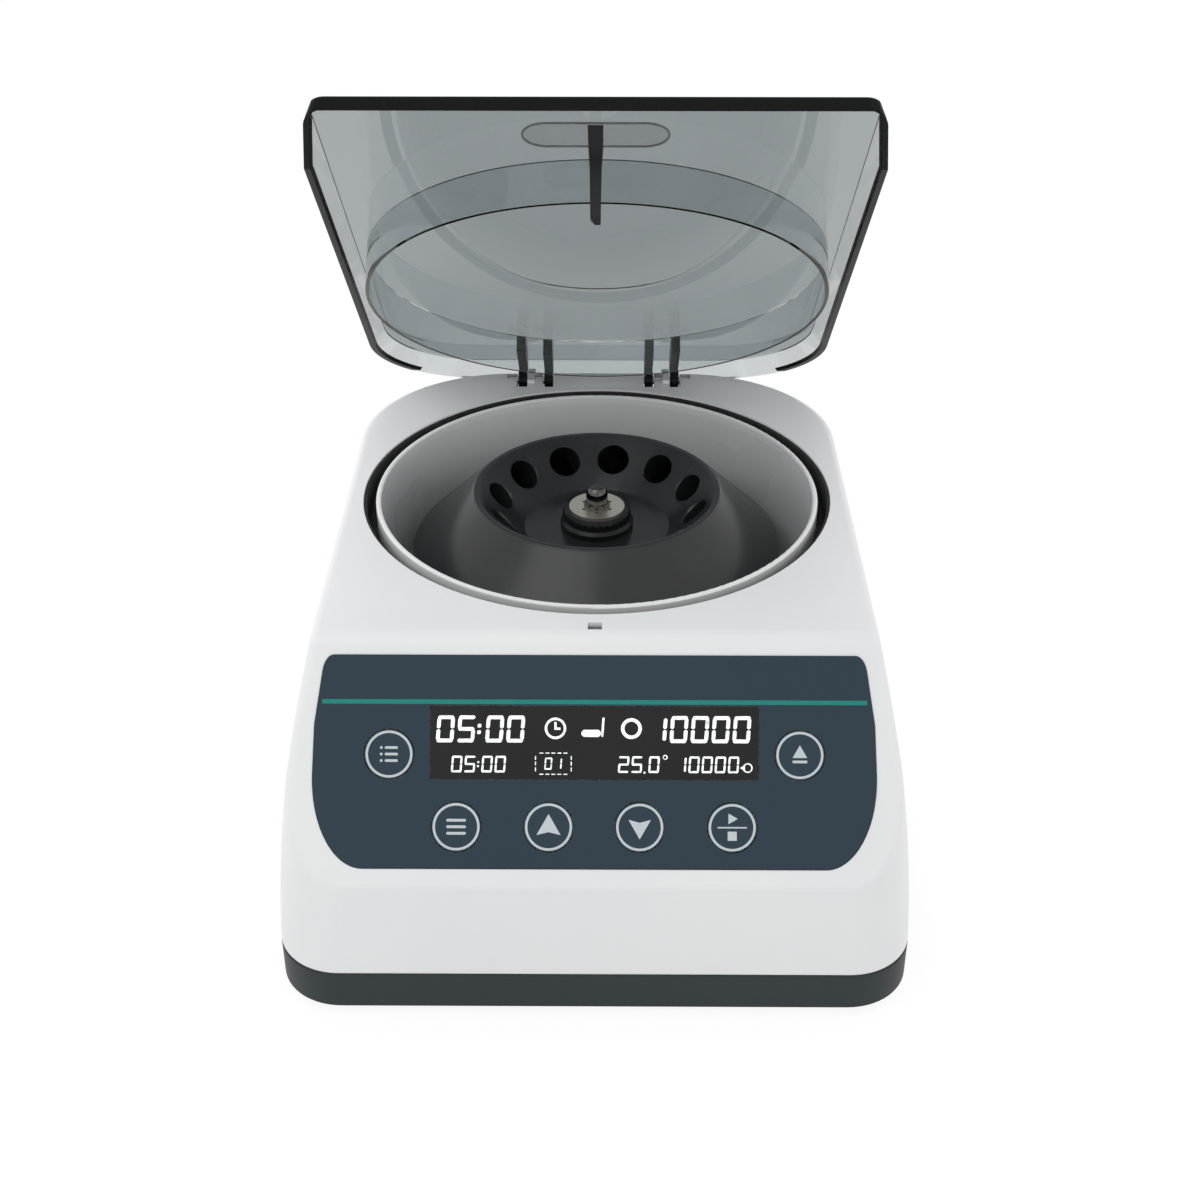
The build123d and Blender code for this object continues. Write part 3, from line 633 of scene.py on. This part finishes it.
cornerSkins = []
for side in (-1, 1):
    skin = nodes["lid_shell"].copy()
    skin.data = nodes["lid_shell"].data.copy()
    skin.data.transform(lidClosed)
    bpy.context.scene.collection.objects.link(skin)
    bpy.ops.object.select_all(action="DESELECT")
    skin.select_set(True)
    startEdit(skin)
    cutAway((side * corner["fromX"], 0, 0), (side, 0, 0))
    cutAway((0, lid["hingeY"] - corner["fromReach"], 0), (0, -1, 0))
    cutAway((0, 0, panel["topZ"] + corner["fromRise"]), (0, 0, 1))
    bpy.ops.mesh.select_all(action="SELECT")
    bpy.ops.mesh.remove_doubles(threshold=corner["merge"])
    bpy.ops.mesh.normals_make_consistent(inside=False)
    # the flat plate inside the corner stays clear
    inner = Vector((side * corner["innerX"], lid["hingeY"] - corner["innerReach"], 0))
    outward = Vector((side, -1, 0))
    bpy.ops.mesh.bisect(plane_co=inner, plane_no=outward)
    pick(skin, "faces", lambda f: abs(f.normal.z) > corner["flat"] and
         (f.calc_center_median() - inner).dot(outward) < 0)
    bpy.ops.mesh.delete(type="FACE")
    bpy.ops.mesh.select_all(action="SELECT")
    bpy.ops.transform.shrink_fatten(value=corner["proud"])
    endEdit()
    cornerSkins.append(skin)
cornerSkin = joined(cornerSkins, "edge_shade_corners")
cornerSkin.data.transform(lidClosed.inverted())
cornerSkin.data.materials.clear()
cornerSkin.data.materials.append(edgeShadeStrip)
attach(cornerSkin, "lid")
print("pad and strip corners on the lid")

# teal line across the film, measured down from the crease
teal = {"from": 20.1 * mm, "to": 21.5 * mm, "halfWidth": 84.0 * mm}
tealLine = inkBar(2 * teal["halfWidth"], teal["to"] - teal["from"], 0, 0, 0,
                  -(teal["from"] + teal["to"]) / 2)
filmTop = onPanel("control_overlay")[2]
layOnPanel(joined([tealLine], "teal_line"), filmTop - panel["inkSunk"], "case",
           tealInk)

# seven-bar figures: which bars are lit, from the top clockwise and the middle last
litBars = {
    "0": "abcdef", "1": "bc", "2": "abged", "3": "abgcd", "4": "fgbc", "5": "afgcd",
    "6": "afgedc", "7": "abc", "8": "abcdefg", "9": "abcdfg",
}
figures = {
    "largeUp": 8.3 * mm, "largeAcross": 5.4 * mm, "largeLine": 1.15 * mm, "largeStep": 6.45 * mm,
    "smallUp": 5.1 * mm, "smallAcross": 3.3 * mm, "smallLine": 0.62 * mm, "smallStep": 4.05 * mm,
    "tinyUp": 3.7 * mm, "tinyAcross": 2.3 * mm, "tinyLine": 0.45 * mm, "tinyStep": 3.0 * mm,
    "lean": 4.0, "gap": 0.3, "tallTip": 0.3, "wideTip": 0.4,
    "dotTip": 0.2, "dotSpread": 1.1, "dotStep": 2.0,
}


def figureBars(size):
    # the two bars that every figure of one size is made of
    up, across, line = (figures[size + key] for key in ("Up", "Across", "Line"))
    reach = (up - line) / 2
    tall = inkBar(line, reach - line * figures["gap"], line * figures["tallTip"])
    wide = inkBar(across - line * figures["gap"], line, line * figures["wideTip"])
    return tall, wide


def copyOf(part, x, y):
    # a copy with its own mesh, moved into place
    twin = part.copy()
    twin.data = part.data.copy()
    twin.data.transform(Matrix.Translation((x, y, 0)))
    bpy.context.scene.collection.objects.link(twin)
    return twin


def figureRow(text, size, x, y):
    # x is the left of the first figure and y the foot of the row
    up, across, line = (figures[size + key] for key in ("Up", "Across", "Line"))
    tall, wide = figureBars(size)
    side, quarter = (across - line) / 2, (up - line) / 4
    bars = {
        "a": (wide, 0, 2 * quarter), "b": (tall, side, quarter), "c": (tall, side, -quarter),
        "d": (wide, 0, -2 * quarter), "e": (tall, -side, -quarter), "f": (tall, -side, quarter),
        "g": (wide, 0, 0)}
    parts = []
    for mark in text:
        if mark in ":.":
            for level in ((-0.5, 0.5) if mark == ":" else (-2.0,)):
                tip = line * figures["dotTip"]
                dotY = y + up / 2 + level * quarter * figures["dotSpread"]
                parts.append(inkBar(line, line, tip, 0, x + tip, dotY))
            x += line * figures["dotStep"]
            continue
        for key in litBars[mark]:
            bar, dx, dy = bars[key]
            parts.append(copyOf(bar, x + across / 2 + dx, y + up / 2 + dy))
        x += figures[size + "Step"]
    bpy.data.objects.remove(tall)
    bpy.data.objects.remove(wide)
    lean = math.tan(math.radians(figures["lean"]))
    leaned = Matrix(((1, lean, 0, -lean * (y + up / 2)), (0, 1, 0, 0), (0, 0, 1, 0), (0, 0, 0, 1)))
    for part in parts:
        part.data.transform(leaned)
    return parts


windowTop = onPanel("display_window")[2]
topRow, lowRow, tinyRow = -33.3 * mm, -42.5 * mm, -41.6 * mm
rows = (
    ("05:00", "large", -48.6 * mm, topRow), ("10000", "large", 16.9 * mm, topRow),
    ("05:00", "small", -44.0 * mm, lowRow), ("01", "tiny", -15.3 * mm, tinyRow),
    ("25.0", "small", 7.4 * mm, lowRow), ("10000", "small", 25.0 * mm, lowRow))
marks = []
for text, size, left, foot in rows:
    marks += figureRow(text, size, left, foot)

# clock, open lid and ring between the large figures
middleRow, clockX = -28.9 * mm, -12.0 * mm
marks.append(inkRing(3.3 * mm, 0.75 * mm, clockX, middleRow))
marks.append(inkBar(0.7 * mm, 2.2 * mm, 0, 0, clockX, middleRow + 0.85 * mm))
marks.append(inkBar(1.9 * mm, 0.7 * mm, 0, 0, -11.4 * mm, middleRow - 0.1 * mm))
marks.append(inkBar(6.0 * mm, 2.2 * mm, 0.7 * mm, 0, -1.0 * mm, middleRow - 1.5 * mm))
marks.append(inkBar(0.7 * mm, 6.0 * mm, 0.2 * mm, -4, 2.6 * mm, middleRow + 0.4 * mm))
marks.append(inkRing(3.2 * mm, 1.05 * mm, 11.4 * mm, middleRow))

# dashed frame round the programme number
dashes = {"middle": -12.6 * mm, "across": 11.0 * mm, "low": -43.0 * mm, "high": -36.5 * mm,
          "long": 1.2 * mm, "line": 0.3 * mm, "stepAcross": 1.85 * mm, "stepUp": 1.75 * mm}
for step in (-2, -1, 0, 1, 2):
    for dashY in (dashes["low"], dashes["high"]):
        marks.append(inkBar(dashes["long"], dashes["line"], 0, 0,
                            dashes["middle"] + step * dashes["stepAcross"], dashY))
frameMiddle = (dashes["low"] + dashes["high"]) / 2
for side in (-1, 1):
    for step in (-1, 0, 1):
        marks.append(inkBar(dashes["line"], dashes["long"], 0, 0,
                            dashes["middle"] + side * dashes["across"] / 2,
                            frameMiddle + step * dashes["stepUp"]))
# degree ring, and a turning mark for the speed
marks.append(inkRing(0.75 * mm, 0.3 * mm, 21.8 * mm, lowRow + 4.8 * mm, 24))
marks.append(inkRing(1.5 * mm, 0.4 * mm, 47.2 * mm, lowRow + 1.6 * mm, 32))
marks.append(inkArrow(1.0 * mm, 90, 45.8 * mm, lowRow + 1.6 * mm))
layOnPanel(joined(marks, "display_figures"), windowTop - panel["inkSunk"], "case",
           litSegment)
print("display figures laid")

# one ring and one sign on each key
keyRing = {"inset": 0.36 * mm, "line": 0.75 * mm}
keySigns = {
    "key_program": lambda x, y: [
        part for level in (-2.0, 0.0, 2.0) for part in (
            inkBar(0.8 * mm, 0.8 * mm, 0.2 * mm, 0, x - 2.4 * mm, y + level * mm),
            inkBar(4.0 * mm, 0.8 * mm, 0.2 * mm, 0, x + 0.7 * mm, y + level * mm))],
    "key_open": lambda x, y: [
        inkArrow(2.6 * mm, 0, x, y + 0.5 * mm), inkBar(4.5 * mm, 0.8 * mm, 0, 0, x, y - 2.0 * mm)],
    "key_menu": lambda x, y: [
        inkBar(6.0 * mm, 0.85 * mm, 0.25 * mm, 0, x, y + level * mm) for level in (-2.0, 0.0, 2.0)],
    "key_up": lambda x, y: [inkArrow(4.3 * mm, 0, x, y - 0.3 * mm, 0.9 * mm)],
    "key_down": lambda x, y: [inkArrow(4.0 * mm, 180, x, y + 0.3 * mm, 0.9 * mm)],
    "key_start": lambda x, y: [
        inkArrow(1.9 * mm, -90, x - 0.2 * mm, y + 2.7 * mm),
        inkBar(9.0 * mm, 0.45 * mm, 0, 0, x, y),
        inkBar(2.8 * mm, 2.8 * mm, 0, 0, x, y - 2.6 * mm)],
}
for key, sign in keySigns.items():
    keyX, keyY, keyTop = onPanel(key)
    low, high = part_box(key)
    capRadius = (high.x - low.x) / 2
    parts = [inkRing(capRadius - keyRing["inset"], keyRing["line"], keyX, keyY)] + sign(keyX, keyY)
    layOnPanel(joined(parts, key + "_print"), keyTop - panel["inkSunk"], key,
               whiteInk)
print("key signs laid")

# studio
studio = {"skyLevel": 0.7, "floorShare": 0.85, "floorGlow": 1.06, "floorSize": 12.0}


def seenDirectly(tree):
    # 1 for rays that should see the plain white background: camera, mirror and clear plastic
    rays = addNode(tree, "ShaderNodeLightPath").outputs
    first = addNode(tree, "ShaderNodeMath", {"operation": "MAXIMUM"},
                    {0: rays["Is Camera Ray"], 1: rays["Is Glossy Ray"]}).outputs[0]
    return addNode(tree, "ShaderNodeMath", {"operation": "MAXIMUM"},
                   {0: first, 1: rays["Is Transmission Ray"]}).outputs[0]


world = bpy.data.worlds.new("studio")
bpy.context.scene.world = world
world.use_nodes = True
sky = world.node_tree
level = addNode(sky, "ShaderNodeMapRange", {"To Min": studio["skyLevel"], "To Max": 1.0},
                {"Value": seenDirectly(sky)})
sky.nodes["Background"].inputs["Color"].default_value = (1, 1, 1, 1)
sky.links.new(level.outputs["Result"], sky.nodes["Background"].inputs["Strength"])

bpy.ops.object.select_all(action="DESELECT")
bpy.ops.mesh.primitive_plane_add(size=studio["floorSize"])
floor = bpy.context.object
floor.name = "floor"
floorPaint, floorTree, floorShader = newMaterial("white_floor")
floorShader.inputs["Base Color"].default_value = (0.9, 0.9, 0.9, 1)
floorShader.inputs["Roughness"].default_value = 0.9
floorShader.inputs["Specular IOR Level"].default_value = 0.0
glow = addNode(floorTree, "ShaderNodeEmission", {
    "Color": (1, 1, 1, 1), "Strength": studio["floorGlow"]})
share = addNode(floorTree, "ShaderNodeMath", {"operation": "MULTIPLY", 1: studio["floorShare"]},
                {0: seenDirectly(floorTree)})
mix = addNode(floorTree, "ShaderNodeMixShader", None, {
    0: share.outputs[0], 1: floorShader.outputs[0], 2: glow.outputs[0]})
floorTree.links.new(mix.outputs[0], floorTree.nodes["Material Output"].inputs["Surface"])
floor.data.materials.append(floorPaint)

lamps = {
    "lamp_main": {"place": (-0.45, -0.5, 1.05), "aim": (0, 0, 0.1), "size": 0.8, "power": 2.3},
    "lamp_fill": {"place": (1.1, -1.2, 0.8), "aim": (0, 0, 0.1), "size": 0.9, "power": 1.1},
    "lamp_left": {"place": (-0.3, 0.1, 0.27), "aim": (0, 0.03, 0.1), "size": 0.2, "power": 0.24,
                  "mirrored": False},
    "lamp_right": {"place": (0.34, 0.05, 0.23), "aim": (0, 0.03, 0.1), "size": 0.2, "power": 0.15,
                   "mirrored": False},
}
for name, lamp in lamps.items():
    data = bpy.data.lights.new(name, "AREA")
    data.size = lamp["size"]
    data.energy = lamp["power"]
    light = bpy.data.objects.new(name, data)
    light.location = lamp["place"]
    aim = Vector(lamp["aim"]) - Vector(lamp["place"])
    light.rotation_euler = aim.to_track_quat("-Z", "Y").to_euler()
    # a soft side lamp leaves no patch of itself in the clear lid
    light.visible_glossy = lamp.get("mirrored", True)
    light.visible_transmission = lamp.get("mirrored", True)
    bpy.context.scene.collection.objects.link(light)

camera = {"place": (0.0042, -0.53909, 0.4156), "down": 32.04, "left": 0.32, "lens": 53.46,
          "sensor": 36.0}
cameraData = bpy.data.cameras.new("camera")
cameraData.lens = camera["lens"]
cameraData.sensor_width = camera["sensor"]
cameraObject = bpy.data.objects.new("camera", cameraData)
cameraObject.location = camera["place"]
cameraObject.rotation_euler = (math.radians(90 - camera["down"]), 0, math.radians(camera["left"]))
bpy.context.scene.collection.objects.link(cameraObject)
bpy.context.scene.camera = cameraObject
bpy.context.scene.view_settings.view_transform = "Standard"
print("studio ready")
